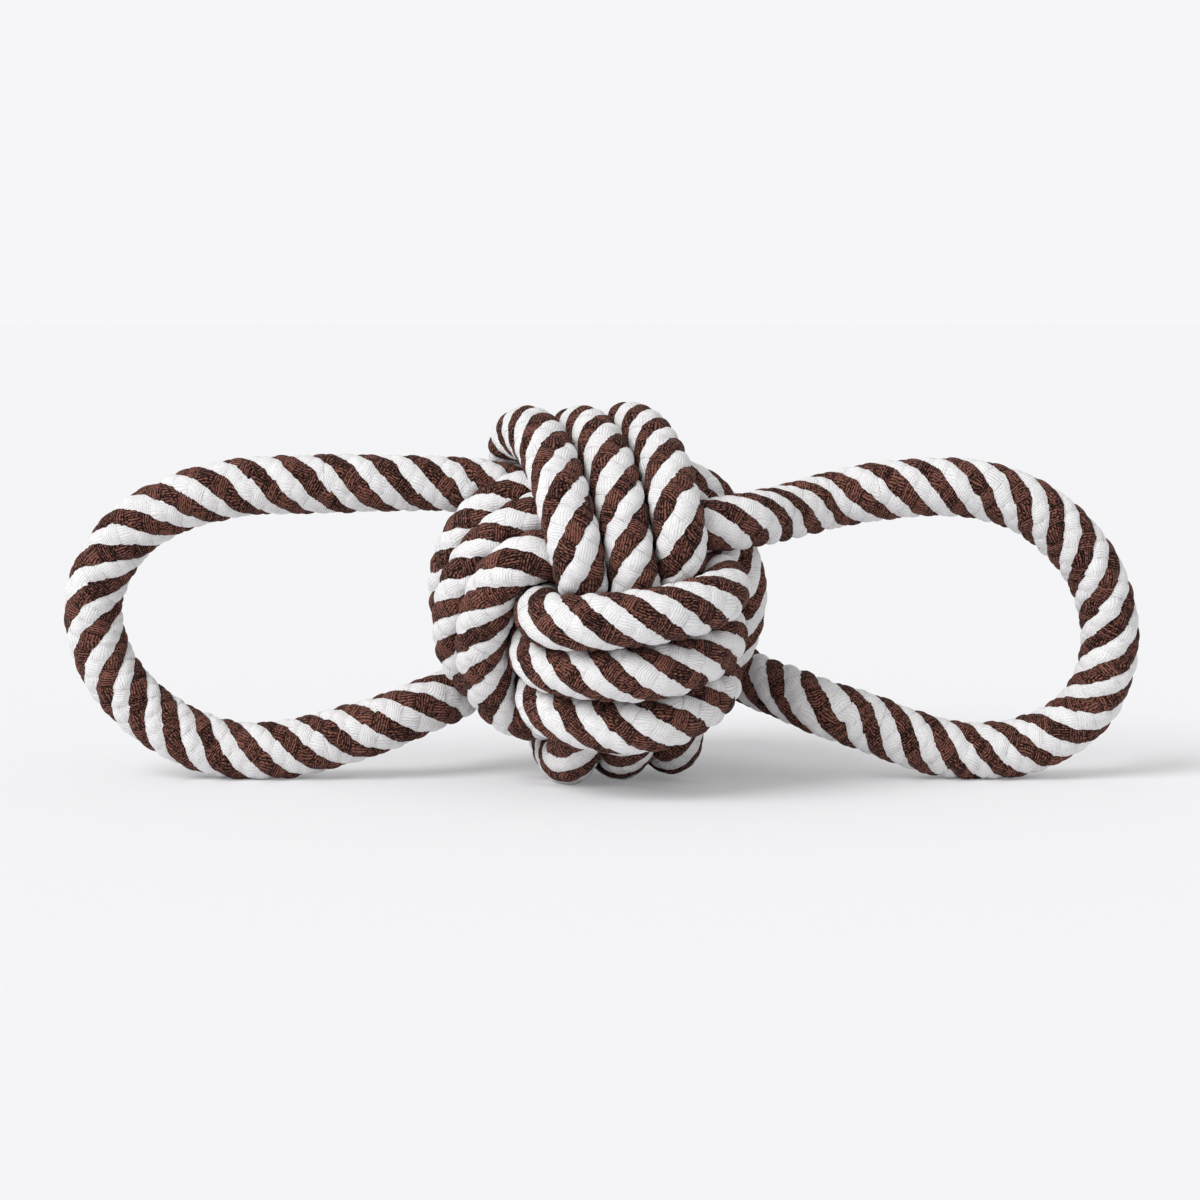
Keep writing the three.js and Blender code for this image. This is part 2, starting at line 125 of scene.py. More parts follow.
RIGHT_HANDLE = [
    (37, 18.5, 23), (46.5, 8.5, 20.8), (56, 1.5, 17.6), (66, 1.5, 14.3), (77, 1.5, 10.1), (87, 1.5, 7.4),
    (97, 1.5, 6.9), (106.5, 1.5, 8.4), (115, 1.5, 12.2), (121.9, 1.5, 18.4), (126, 1.5, 26.8),
    (127.2, 1.5, 36), (125.6, 1.5, 45.6), (121.6, 1.5, 54.4), (114.6, 1.5, 62.6), (105.6, 1.5, 69),
    (95.6, 1.5, 72.4), (85.6, 1.5, 73.4), (75, 1.5, 73), (65, 1.5, 71.7), (56, 1.5, 69.8),
    (47.5, -3.5, 68), (38.5, -10.5, 66.4), (28, -17.5, 65),
]
LEFT_HANDLE = [
    (-38, 1.5, 74.3), (-47, 1.5, 74.4), (-56, 1.5, 74.4), (-66, 1.5, 74.3), (-77, 1.5, 74), (-88, 1.5, 73.6),
    (-99.8, 1.5, 71.4), (-110.2, 1.5, 67.5), (-118.1, 1.5, 62.1), (-123.7, 1.5, 54.9), (-127.3, 1.5, 46),
    (-127, 1.5, 37), (-123.8, 1.5, 27.9), (-117.9, 1.5, 20.2), (-110.8, 1.5, 14.2), (-102.5, 1.5, 9.8),
    (-93.5, 1.5, 7.2), (-84.5, 1.5, 6.9), (-75, 1.5, 8.2), (-66, 1.5, 10.6), (-56, 1.5, 13.6),
    (-47, 3.5, 17), (-39, 8.5, 19.8),
]


def knot_points(points):
    left, top, front = np.array(points, float).T[:, :, None]
    return KNOT_MIDDLE + left * FACE_LEFT + top * FACE_TOP + front * FACE_FRONT


def rounded(value, squareness):
    return np.sign(value) * np.abs(value) ** (2 / squareness)


def winding_points(winding):
    count = round(abs(winding["end"] - winding["start"]) / WINDING_STEP_DEGREES)
    degrees = np.linspace(winding["start"], winding["end"], count + 1)
    offset = winding["offset"] + winding["pitch"] * degrees / 360
    over = winding["over_reach"] * np.sqrt(1 - (offset / winding["over_round"]) ** 2)
    under = winding["under_reach"] * np.sqrt(1 - (offset / winding["under_round"]) ** 2)
    over *= rounded(np.cos(np.radians(degrees)), winding["squareness"])
    under *= rounded(np.sin(np.radians(degrees)), winding["squareness"])
    return (
        KNOT_MIDDLE + winding["shift"] + offset[:, None] * winding["across"]
        + over[:, None] * winding["over"] + under[:, None] * winding["under"]
    )


def core_points():
    count = round(360 * CORE_TURNS / CORE_STEP_DEGREES)
    step = np.arange(count + 1)
    angle = np.radians((step - count) * CORE_STEP_DEGREES)
    front = CORE_PITCH * CORE_TURNS * (0.5 - step / count)
    return knot_points(np.stack([CORE_RADIUS * np.cos(angle), CORE_RADIUS * np.sin(angle), front], axis=1))


def root_distance(first, second):
    return np.sqrt(np.linalg.norm(second - first, axis=1))[:, None]


def smooth_curve(points, per_span):
    """A centripetal curve through the points, with per_span steps between two of them."""
    before_first = 2 * points[0] - points[1]
    after_last = 2 * points[-1] - points[-2]
    chain = np.concatenate([[before_first], points, [after_last]])
    before, start, end, after = chain[:-3], chain[1:-2], chain[2:-1], chain[3:]
    gap_before = root_distance(before, start)
    gap = root_distance(start, end)
    gap_after = root_distance(end, after)
    leave = (start - before) / gap_before - (end - before) / (gap_before + gap) + (end - start) / gap
    arrive = (end - start) / gap - (after - start) / (gap + gap_after) + (after - end) / gap_after
    leave, arrive, start, end = (line[:, None] for line in (gap * leave, gap * arrive, start, end))
    share = (np.arange(per_span) / per_span)[None, :, None]
    curve = (
        (2 * share**3 - 3 * share**2 + 1) * start + (share**3 - 2 * share**2 + share) * leave
        + (3 * share**2 - 2 * share**3) * end + (share**3 - share**2) * arrive
    )
    return np.concatenate([curve.reshape(-1, 3), points[-1:]])


def lengths_along(points):
    return np.concatenate([[0], np.cumsum(np.linalg.norm(np.diff(points, axis=0), axis=1))])


def at_lengths(points, along, wanted):
    return np.stack([np.interp(wanted, along, points[:, axis]) for axis in range(3)], axis=1)


def lay_stations():
    """Evenly spaced stations along the route, where each stretch lies among them, and their spacing."""
    stretches = dict(
        core=core_points(),
        core_exit=knot_points(CORE_EXIT),
        first=winding_points(FIRST_WINDING),
        first_turn=knot_points(FIRST_TURN),
        second=winding_points(SECOND_WINDING),
        second_exit=knot_points(SECOND_EXIT),
        right_handle=np.array(RIGHT_HANDLE, float),
        third=winding_points(THIRD_WINDING),
        left_handle=np.array(LEFT_HANDLE, float),
        tail=knot_points(TAIL_TUCK),
    )
    fine = smooth_curve(np.concatenate(list(stretches.values())), CURVE_STEPS)
    along = lengths_along(fine)
    count = round(along[-1] / STATION_STEP)
    laid = at_lengths(fine, along, np.linspace(0, along[-1], count + 1))
    station_of_point = along[::CURVE_STEPS] / along[-1] * count
    stretch_spans = {}
    first = 0
    for name, points in stretches.items():
        last = first + len(points) - 1
        stretch_spans[name] = station_of_point[first], station_of_point[last]
        first = last + 1
    return laid, stretch_spans, along[-1] / count


# Settling of the strands in the knot, as in the CAD part

SETTLE_ROUNDS = 160
SETTLE_PUSH = 0.25
SETTLE_HOLD = 0.02
SETTLE_LIMIT = 1
SETTLE_SEARCH = 36
SMOOTHING = 0.2
SMOOTHING_PASSES = 4
LAST_SMOOTHING_PASSES = 6
FREE_REACH = 43


def fair(points, free):
    """One pass of bending stiffness."""
    lean = np.zeros_like(points)
    lean[1:-1] = (points[:-2] + points[2:]) / 2 - points[1:-1]
    pull = np.zeros_like(points)
    pull[1:-1] = lean[1:-1] - (lean[:-2] + lean[2:]) / 2
    return points + SMOOTHING * pull * free[:, None]


def settle(start, step):
    """Strands that lie too close push each other apart, as they do when the knot is drawn tight.

    Only the stations within FREE_REACH of the middle move, so the handles keep their points.
    """
    free = np.abs(start[:, 0]) < FREE_REACH
    first, second = np.triu_indices(len(start), math.ceil(SAME_STRAND / step))
    near = np.linalg.norm(start[first] - start[second], axis=1) < STRAND_SPACING + SETTLE_SEARCH
    first, second = first[near], second[near]
    points = start.copy()
    count = len(points)
    for _ in range(SETTLE_ROUNDS):
        away = points[first] - points[second]
        distance = np.linalg.norm(away, axis=1)
        away *= (SETTLE_PUSH * np.maximum(0, STRAND_SPACING - distance) / distance)[:, None]
        pushes = [np.bincount(first, push, count) - np.bincount(second, push, count) for push in away.T]
        move = np.stack(pushes, axis=1)
        faired = points
        for _ in range(SMOOTHING_PASSES):
            faired = fair(faired, free)
        move += faired - points + SETTLE_HOLD * (start - points)
        size = np.linalg.norm(move, axis=1)
        move *= np.minimum(1, SETTLE_LIMIT / np.maximum(size, NEARLY_ZERO))[:, None]
        points = points + move * free[:, None]
    for _ in range(LAST_SMOOTHING_PASSES):
        points = fair(points, free)
    return points


# The rope's middle line in fine even rows, each with a frame that turns as little as it can

ROW_STEP = 0.4
FINE_STEPS = 10
TANGENT_PASSES = 3

stations, spans, station_step = lay_stations()
stations = settle(stations, station_step)
fine_line = smooth_curve(stations, FINE_STEPS)
fine_along = lengths_along(fine_line)
station_along = fine_along[::FINE_STEPS]
row_count = round(fine_along[-1] / ROW_STEP)
row_along = np.linspace(0, fine_along[-1], row_count + 1)
row_middle = at_lengths(fine_line, fine_along, row_along)
row_tangent = np.gradient(row_middle, axis=0)
for _ in range(TANGENT_PASSES):
    row_tangent[1:-1] = (row_tangent[:-2] + 2 * row_tangent[1:-1] + row_tangent[2:]) / 4
row_tangent /= np.linalg.norm(row_tangent, axis=1)[:, None]
row_side = np.empty_like(row_tangent)
side = np.cross((0, 0, 1), row_tangent[0])
for row in range(row_count + 1):
    side = side - (side @ row_tangent[row]) * row_tangent[row]
    side /= np.linalg.norm(side)
    row_side[row] = side
row_other = np.cross(row_tangent, row_side)


def along_at_station(station):
    return np.interp(station, np.arange(len(stations)), station_along)


def row_at_station(station):
    return int(round(along_at_station(station) / fine_along[-1] * row_count))


def row_at_x(x, first_row, last_row):
    """The row between two others where the rope is nearest to a plane of constant x."""
    return first_row + int(np.argmin(np.abs(row_middle[first_row : last_row + 1, 0] - x)))


# How far the rope's surface reaches in each direction before it presses on a neighbouring strand.
# The rope is drawn thin in the knot and is fuller in the handles.

REACH_SIDES = 48
REACH_STEP = 3
REACH_SEARCH = 24
FAR = 99.0
STRAND_GAP = 0.1
CONTACT_ROUNDING = 0.45
HANDLE_FULLNESS = 0.45
KNOT_EDGE = 45
FULLNESS_EASE = 20


def measure_reach():
    """The reach on every few rows, in even directions round each of them."""
    rows = np.arange(0, row_count + 1, REACH_STEP)
    angles = np.arange(REACH_SIDES) * 2 * math.pi / REACH_SIDES
    others = row_middle[rows]
    reach = np.full((len(rows), REACH_SIDES), FAR)
    for index, row in enumerate(rows):
        between = others - row_middle[row]
        distance = np.linalg.norm(between, axis=1)
        near = (distance < REACH_SEARCH) & (np.abs(row_along[rows] - row_along[row]) > SAME_STRAND)
        if not near.any():
            continue
        between, distance = between[near], distance[near]
        ways = np.cos(angles)[:, None] * row_side[row] + np.sin(angles)[:, None] * row_other[row]
        facing = ways @ between.T
        half_way = distance**2 / 2 - STRAND_GAP / 2 * distance
        limit = np.where(facing > NEARLY_ZERO, half_way / np.maximum(facing, NEARLY_ZERO), FAR)
        reach[index] = limit.min(axis=1)
    outside = np.clip((np.abs(row_middle[rows, 0]) - KNOT_EDGE) / FULLNESS_EASE, 0, 1)
    radius = ROPE_RADIUS + HANDLE_FULLNESS * outside[:, None]
    pressed = np.exp(-radius / CONTACT_ROUNDING) + np.exp(-reach / CONTACT_ROUNDING)
    return -CONTACT_ROUNDING * np.log(pressed)


reach_table = measure_reach()


def reach_of(rows, angles):
    """The reach at each of some rows, for a grid of angles with one line per row."""
    row_place = rows / REACH_STEP
    low_row = np.minimum(row_place.astype(int), len(reach_table) - 2)[:, None]
    row_share = np.clip(row_place[:, None] - low_row, 0, 1)
    side_place = np.mod(angles / (2 * math.pi), 1) * REACH_SIDES
    low_side = side_place.astype(int) % REACH_SIDES
    high_side = (low_side + 1) % REACH_SIDES
    side_share = side_place - np.floor(side_place)

    def round_row(row):
        return reach_table[row, low_side] * (1 - side_share) + reach_table[row, high_side] * side_share

    return round_row(low_row) * (1 - row_share) + round_row(low_row + 1) * row_share


# The thread bound round each cut end draws the rope in

WHIPPING_WIDTH = 9
WHIPPING_THREAD = 0.8
WHIPPING_INSET = 2
BOUND_EASE = 1.5

from_end = np.minimum(row_along, fine_along[-1] - row_along)
row_bound = np.clip((WHIPPING_INSET + WHIPPING_WIDTH + BOUND_EASE - from_end) / BOUND_EASE, 0, 1)
in_first_half = np.arange(row_count + 1) < row_count / 2


def least_reach(end):
    """How far the rope reaches all round along one of its whipped ends."""
    in_half = in_first_half if end == "core" else ~in_first_half
    rows = np.nonzero((row_bound > 0) & in_half)[0]
    return reach_table[rows // REACH_STEP].min()


bound_radius = np.where(in_first_half, least_reach("core"), least_reach("tail")) - WHIPPING_THREAD

# The braid: six spiral bands, brown and white by turns, each a row of blocks of threads.
# Heights are in millimetres, and what happens at a band's edge is in shares of a band.

BANDS = 6
BAND_COLUMNS = 8
COLUMNS = BANDS * BAND_COLUMNS
BRAID_PITCH = 32.3
BLOCK_LENGTH = 4.6
BLOCK_SHIFT = 4.0
BLOCK_STAGGER = 0.37
SPARE_BLOCKS = 8
BAND_RISE = 0.7
BAND_SQUARENESS = 2.4
BLOCK_RISE = 0.42
BLOCK_SQUARENESS = 4
BLOCK_LEAN = 0.14
BLOCK_UNEVENNESS = 0.1
EDGE_STEP = 0.065
EDGE_TILT = 0.14
EDGE_SCALLOP = 0.075
SCALLOPS_OUTWARD = 0.75
SCALLOP_LEVEL = 0.7
SCALLOP_SQUARENESS = 2.5
EDGE_REACH = 0.4
EDGE_EASE = (-0.1, -0.05, 0, 0.05, 0.1)
FLOOR_CONTACT = 0.02
CUT_RINGS = (0.94, 0.8, 0.62, 0.44, 0.22)
CUT_DOME = 0.7
CUT_ROUGH = 0.16
RANDOM_SEED = 7

band_slope = math.atan2(math.pi * ROPE_DIAMETER, BRAID_PITCH)
block_grid = (BANDS, int(fine_along[-1] / math.cos(band_slope) / BLOCK_LENGTH) + SPARE_BLOCKS)
random_numbers = np.random.default_rng(RANDOM_SEED)
block_rise = random_numbers.uniform(-BLOCK_UNEVENNESS, BLOCK_UNEVENNESS, block_grid)
block_step = random_numbers.uniform(-EDGE_STEP, EDGE_STEP, block_grid)
block_tilt = random_numbers.uniform(-EDGE_TILT, EDGE_TILT, block_grid)
block_round = np.where(random_numbers.random(block_grid) < SCALLOPS_OUTWARD, -EDGE_SCALLOP, EDGE_SCALLOP)

# The rope is twisted a little as it is tied. Each turn of a winding and each part of a handle has its own
# twist in degrees, set against the photograph, and the rope eases from one to the next.
FIRST_TWISTS = (5, 15, -35)
SECOND_TWISTS = (-40, -55, -75)
THIRD_TWISTS = (90, 120, 140)
RIGHT_HANDLE_TWISTS = (-70, -10, 45)
LEFT_HANDLE_TWISTS = (115, 95, 90)
# Where in its stretch each of them holds, as a share of the stretch's length
FIRST_SHARES = (0.1, 0.48, 0.86)
SECOND_SHARES = (0.08, 0.46, 0.83)
THIRD_SHARES = (0.09, 0.41, 0.74)
HANDLE_SHARES = (0.2, 0.5, 0.8)


def along_stretch(name, share):
    """How far along the rope a place in one of its stretches is."""
    first, last = spans[name]
    return along_at_station(first + (last - first) * share)


twist_along = []
twist_degrees = []
for name, shares, twists in (
    ("first", FIRST_SHARES, FIRST_TWISTS),
    ("second", SECOND_SHARES, SECOND_TWISTS),
    ("right_handle", HANDLE_SHARES, RIGHT_HANDLE_TWISTS),
    ("third", THIRD_SHARES, THIRD_TWISTS),
    ("left_handle", HANDLE_SHARES, LEFT_HANDLE_TWISTS),
):
    twist_along += [along_stretch(name, share) for share in shares]
    twist_degrees += twists


def braid_phase(along):
    """How far the bands have turned round the rope, in radians."""
    return 2 * math.pi * along / BRAID_PITCH + np.radians(np.interp(along, twist_along, twist_degrees))


def weave_place(along):
    return along / math.cos(band_slope) / BLOCK_LENGTH


def block_place(along, band, across):
    """How many blocks along its band a point is."""
    return weave_place(along) + BLOCK_SHIFT / BLOCK_LENGTH * across + BLOCK_STAGGER * band % 1


def edge_shift(along, band):
    """How far the edge where a band starts is pushed aside by its blocks."""
    shift = 0
    for ease in EDGE_EASE:
        place = block_place(along, band, 0) + ease
        block = np.floor(place).astype(int)
        share = place - block
        scallop = SCALLOP_LEVEL - np.abs(2 * share - 1) ** SCALLOP_SQUARENESS
        shift += block_step[band, block] + block_tilt[band, block] * (share - 0.5)
        shift += block_round[band, block] * scallop
    return shift / len(EDGE_EASE)


def rope_points(rows):
    """The points of the rope's surface on some rows, one line of columns per row."""
    along = row_along[rows][:, None]
    column = np.arange(COLUMNS)[None]
    band = column // BAND_COLUMNS
    across = (column % BAND_COLUMNS) / BAND_COLUMNS
    place = block_place(along, band, across)
    block = np.floor(place).astype(int)
    share = place - block
    crown = 1 - np.abs(2 * across - 1) ** BAND_SQUARENESS
    bulge = 1 - np.abs(2 * share - 1) ** BLOCK_SQUARENESS
    lift = block_rise[band, block] * crown + BLOCK_LEAN * (share - 0.5) * crown
    depth = BAND_RISE * (1 - crown) + BLOCK_RISE * (1 - bulge) * crown - lift
    edge = edge_shift(along, band) * np.maximum(0, 1 - across / EDGE_REACH)
    edge += edge_shift(along, (band + 1) % BANDS) * np.maximum(0, 1 - (1 - across) / EDGE_REACH)
    angle = 2 * math.pi * (column + edge * BAND_COLUMNS) / COLUMNS + braid_phase(along)
    radius = reach_of(rows, angle) - depth
    radius += row_bound[rows][:, None] * (bound_radius[rows][:, None] - radius)
    way = np.cos(angle)[..., None] * row_side[rows][:, None]
    way += np.sin(angle)[..., None] * row_other[rows][:, None]
    points = row_middle[rows][:, None] + radius[..., None] * way
    points[..., 2] = np.maximum(points[..., 2], FLOOR_CONTACT)
    return points


def cut_end(rim, row, outward):
    """Rings from the rim of a cut end inwards, where the yarns stand out unevenly."""
    rings = []
    for share in CUT_RINGS:
        bumps = CUT_DOME * (1 - share**2) + random_numbers.uniform(-CUT_ROUGH, CUT_ROUGH, COLUMNS)
        flat = row_middle[row] + share * (rim - row_middle[row])
        rings.append(flat + (outward * bumps)[:, None] * row_tangent[row])
    return rings if outward > 0 else rings[::-1]


# A rope's place in the weave is kept as a UV map: blocks along the rope, and bands round it.
# Each band keeps a little off its neighbours' numbers, and the caps take the middle of a white band.
BAND_MARGIN = 0.002
CAP_WEAVE = (0.4, 1.5)


def weave_map(rows, corner_count):
    column = np.tile(np.arange(COLUMNS), len(rows) - 1)
    band = column // BAND_COLUMNS
    low = np.clip((column % BAND_COLUMNS) / BAND_COLUMNS, BAND_MARGIN, 1 - BAND_MARGIN)
    high = np.clip((column % BAND_COLUMNS + 1) / BAND_COLUMNS, BAND_MARGIN, 1 - BAND_MARGIN)
    here = weave_place(np.repeat(row_along[rows[:-1]], COLUMNS))
    ahead = weave_place(np.repeat(row_along[rows[1:]], COLUMNS))
    weave = np.full((corner_count, 2), CAP_WEAVE)
    quad_corners = 4 * len(column)
    for corner, (along, across) in enumerate(((here, low), (here, high), (ahead, high), (ahead, low))):
        weave[corner:quad_corners:4, 0] = along
        weave[corner:quad_corners:4, 1] = band + across
    return weave


def rope_piece(name, first_row, last_row):
    """One closed stretch of the rope, with its place in the weave."""
    rows = np.arange(first_row, last_row + 1)
    points = rope_points(rows)
    centres = row_middle[[first_row, last_row]]
    if first_row == 0:
        points = np.concatenate([cut_end(points[0], 0, -1), points])
        rows = np.concatenate([np.zeros(len(CUT_RINGS), int), rows])
        centres[0] -= CUT_DOME * row_tangent[0]
    if last_row == row_count:
        points = np.concatenate([points, cut_end(points[-1], row_count, 1)])
        rows = np.concatenate([rows, np.full(len(CUT_RINGS), row_count)])
        centres[1] += CUT_DOME * row_tangent[row_count]
    ring_points = len(rows) * COLUMNS
    grid = np.arange(ring_points).reshape(-1, COLUMNS)
    turned = np.roll(grid, -1, axis=1)
    quads = np.stack([grid[:-1], turned[:-1], turned[1:], grid[1:]], axis=-1).reshape(-1, 4)
    caps = np.concatenate([
        np.stack([np.full(COLUMNS, ring_points), turned[0], grid[0]], axis=1),
        np.stack([np.full(COLUMNS, ring_points + 1), grid[-1], turned[-1]], axis=1),
    ])
    corners = np.concatenate([quads.ravel(), caps.ravel()])
    starts = np.concatenate([np.arange(len(quads)) * 4, quads.size + np.arange(len(caps)) * 3])
    vertices = np.concatenate([points.reshape(-1, 3), centres]) * MM
    mesh = bpy.data.meshes.new(name)
    mesh.vertices.add(len(vertices))
    mesh.vertices.foreach_set("co", vertices.astype(np.float32).ravel())
    mesh.loops.add(len(corners))
    mesh.loops.foreach_set("vertex_index", corners.astype(np.int32))
    mesh.polygons.add(len(starts))
    mesh.polygons.foreach_set("loop_start", starts.astype(np.int32))
    mesh.polygons.foreach_set("use_smooth", np.ones(len(starts), bool))
    weave = weave_map(rows, len(corners))
    mesh.uv_layers.new(name="weave").data.foreach_set("uv", weave.astype(np.float32).ravel())
    mesh.update(calc_edges=True)
    mesh.validate()
    mesh.materials.append(striped_cotton)
    piece = add_object(name, mesh)
    return piece


# Nodes of the materials


def feed(tree, socket, value):
    """Sets a socket to a number or a colour, or links an output to it."""
    if isinstance(value, (int, float)):
        socket.default_value = value
    elif isinstance(value, tuple):
        socket.default_value = (*value, 1)
    else:
        tree.links.new(value, socket)


def node_group(name, inputs, outputs):
    group = bpy.data.node_groups.new(name, "ShaderNodeTree")
    for socket in inputs:
        group.interface.new_socket(socket, in_out="INPUT", socket_type="NodeSocketFloat")
    for socket in outputs:
        group.interface.new_socket(socket, in_out="OUTPUT", socket_type="NodeSocketFloat")
    return group, group.nodes.new("NodeGroupInput"), group.nodes.new("NodeGroupOutput")


def math_node(tree, operation, *values, clamp=False):
    node = tree.nodes.new("ShaderNodeMath")
    node.operation = operation
    node.use_clamp = clamp
    for index, value in enumerate(values):
        feed(tree, node.inputs[index], value)
    return node.outputs[0]


def times(tree, first, second, clamp=False):
    return math_node(tree, "MULTIPLY", first, second, clamp=clamp)


def times_plus(tree, first, second, added, clamp=False):
    return math_node(tree, "MULTIPLY_ADD", first, second, added, clamp=clamp)


def one_minus(tree, value, clamp=False):
    return math_node(tree, "SUBTRACT", 1.0, value, clamp=clamp)


def is_odd(tree, value):
    """One where a whole number is odd, and nought where it is even."""
    return math_node(tree, "GREATER_THAN", math_node(tree, "FRACT", times(tree, value, 0.5)), 0.25)


def combine(tree, x, y, z):
    node = tree.nodes.new("ShaderNodeCombineXYZ")
    for index, value in enumerate((x, y, z)):
        feed(tree, node.inputs[index], value)
    return node.outputs[0]


def noise(tree, vector, detail, scale=1.0):
    node = tree.nodes.new("ShaderNodeTexNoise")
    node.inputs["Scale"].default_value = scale
    node.inputs["Detail"].default_value = detail
    tree.links.new(vector, node.inputs["Vector"])
    return node.outputs["Fac"]


def chance(tree, x, y, draw):
    """A random value for each pair of whole numbers, another one for each draw."""
    node = tree.nodes.new("ShaderNodeTexWhiteNoise")
    node.noise_dimensions = "3D"
    tree.links.new(combine(tree, x, y, draw), node.inputs["Vector"])
    return node.outputs["Value"]


def choose_value(tree, share, first, second):
    node = tree.nodes.new("ShaderNodeMix")
    tree.links.new(share, node.inputs["Factor"])
    tree.links.new(first, node.inputs["A"])
    tree.links.new(second, node.inputs["B"])
    return node.outputs["Result"]


def mix(tree, share, first, second):
    node = tree.nodes.new("ShaderNodeMix")
    node.data_type = "RGBA"
    tree.links.new(share, node.inputs["Factor"])
    feed(tree, node.inputs["A"], first)
    feed(tree, node.inputs["B"], second)
    return node.outputs["Result"]


DARK_STOP = 0.26
MIDDLE_STOP = 0.5
LIGHT_STOP = 0.76


def tones(tree, value, dark, middle, light):
    node = tree.nodes.new("ShaderNodeValToRGB")
    ramp = node.color_ramp
    ramp.elements[0].position = DARK_STOP
    ramp.elements[0].color = (*dark, 1)
    ramp.elements[1].position = LIGHT_STOP
    ramp.elements[1].color = (*light, 1)
    ramp.elements.new(MIDDLE_STOP).color = (*middle, 1)
    tree.links.new(value, node.inputs["Fac"])
    return node.outputs["Color"]


# Cotton threads lying side by side, shared by the rope and the binding thread

LUCK_DRAW = 3.0
DEPTH_DRAW = 8.0
FIBRES_ACROSS = 1.4
FIBRES_ALONG = 7.5
FIBRE_DETAIL = 3.0
FIBRE_CONTRAST = 3.8
FIBRE_LEVEL = -1.4
FIBRE_HEIGHT = 0.45
FIBRE_TINT = 0.46
THREAD_ROUNDNESS = 2.2
THREAD_HEIGHT = 0.4
THREAD_HEIGHT_LUCK = 0.5
LUCK_TINT = 0.2
# How much lighter each thread's crest is painted: a painted highlight
CREST_HIGHLIGHT_TINT = 0.36
# How sharply the painted shade gathers in the gaps between threads
GAP_SHARPNESS = 2.0


def make_cotton_group():
    """The height of the cotton, its tint with a painted highlight on each thread's crest, and the painted
    shade in the gaps between threads, from a count of threads and a place along them.
    """
    group, given, out = node_group("cotton_threads", ("Thread", "Along", "Row"), ("Height", "Tint", "GapShade"))
    thread, along, row = (given.outputs[name] for name in ("Thread", "Along", "Row"))
    number = math_node(group, "FLOOR", thread)
    off_middle = times_plus(group, math_node(group, "FRACT", thread), 2.0, -1.0)
    off_middle = math_node(group, "ABSOLUTE", off_middle)
    luck = chance(group, number, row, LUCK_DRAW)
    depth = chance(group, number, row, DEPTH_DRAW)
    fibre_place = combine(group, times(group, thread, FIBRES_ACROSS), times(group, along, FIBRES_ALONG), row)
    fibre = noise(group, fibre_place, FIBRE_DETAIL)
    fibre = times_plus(group, fibre, FIBRE_CONTRAST, FIBRE_LEVEL, clamp=True)
    rounding = one_minus(group, math_node(group, "POWER", off_middle, THREAD_ROUNDNESS))
    rise = times_plus(group, luck, THREAD_HEIGHT_LUCK, THREAD_HEIGHT)
    height = times_plus(group, rounding, rise, times(group, fibre, FIBRE_HEIGHT))
    # The tint is the fibres' and threads' own tone, plus a painted highlight on each thread's crest
    tint = times_plus(group, fibre, FIBRE_TINT, times(group, rounding, CREST_HIGHLIGHT_TINT))
    tint = times_plus(group, luck, LUCK_TINT, tint)
    # Painted shade in the gaps between threads, deeper on some threads than on others
    gap = times(group, math_node(group, "POWER", off_middle, GAP_SHARPNESS), depth)
    group.links.new(height, out.inputs["Height"])
    group.links.new(tint, out.inputs["Tint"])
    group.links.new(gap, out.inputs["GapShade"])
    return group


cotton_threads = make_cotton_group()

COTTON_ROUGHNESS = 0.92
COTTON_SPECULAR = 0.1
COTTON_SHEEN = 0.03
COTTON_SHEEN_ROUGHNESS = 0.6
BUMP_STRENGTH = 0.8


def cotton_surface(name, bump_depth):
    """A dull cotton material, with its shader, its threads and their bump."""
    material = bpy.data.materials.new(name)
    material.use_nodes = True
    tree = material.node_tree
    surface = tree.nodes["Principled BSDF"]
    surface.inputs["Roughness"].default_value = COTTON_ROUGHNESS
    surface.inputs["Specular IOR Level"].default_value = COTTON_SPECULAR
    surface.inputs["Sheen Weight"].default_value = COTTON_SHEEN
    surface.inputs["Sheen Roughness"].default_value = COTTON_SHEEN_ROUGHNESS
    threads = tree.nodes.new("ShaderNodeGroup")
    threads.node_tree = cotton_threads
    bump = tree.nodes.new("ShaderNodeBump")
    bump.inputs["Strength"].default_value = BUMP_STRENGTH
    bump.inputs["Distance"].default_value = bump_depth
    tree.links.new(threads.outputs["Height"], bump.inputs["Height"])
    tree.links.new(bump.outputs["Normal"], surface.inputs["Normal"])
    return material, tree, surface, threads


# The rope's cotton: threads laid across or along each band in blocks, and bands with ragged edges

ROPE_BUMP = 0.0002
THREADS_IN_BLOCK = 7.3
THREADS_IN_BAND = 6.9
THREAD_SLANT = 3.0
BLOCK_THREADS_APART = 17.0
WANDER_ACROSS = 1.6
WANDER_DETAIL = 1.0
WANDER_SCALE = 0.9
THREAD_WANDER = 2.2
RAGGED_DRAW = 5.0
RAGGED_EDGE = 0.05
WAVES_ALONG = 3.0
WAVY_DETAIL = 2.0
WAVY_DRAW = 2.0
WAVY_EDGE = 0.12
SEAM_SHARPNESS = 10.0
# How dark the painted shade is at the joints between blocks and at the creases between bands
JOINT_SHADE = 0.45
CREASE_SHADE = 0.25
PAD_DRAW = 6.0
PAD_TINT = 0.16
PATCHES_ALONG = 0.8
PATCH_DETAIL = 1.0
PATCH_DRAW = 9.0
PATCH_CONTRAST = 3.0
PATCH_LEVEL = -1.1
# How strongly the painted shade in the hollows shows on the white bands, patch by patch, and on the brown
# ones
PATCH_SHADE = 0.9
LEAST_SHADE = 0.05
BROWN_SHADE_WEIGHT = 1.25
BROWN_TONES = ((0.002, 0.0007, 0.0005), (0.0255, 0.0091, 0.0064), (0.26, 0.106, 0.079))
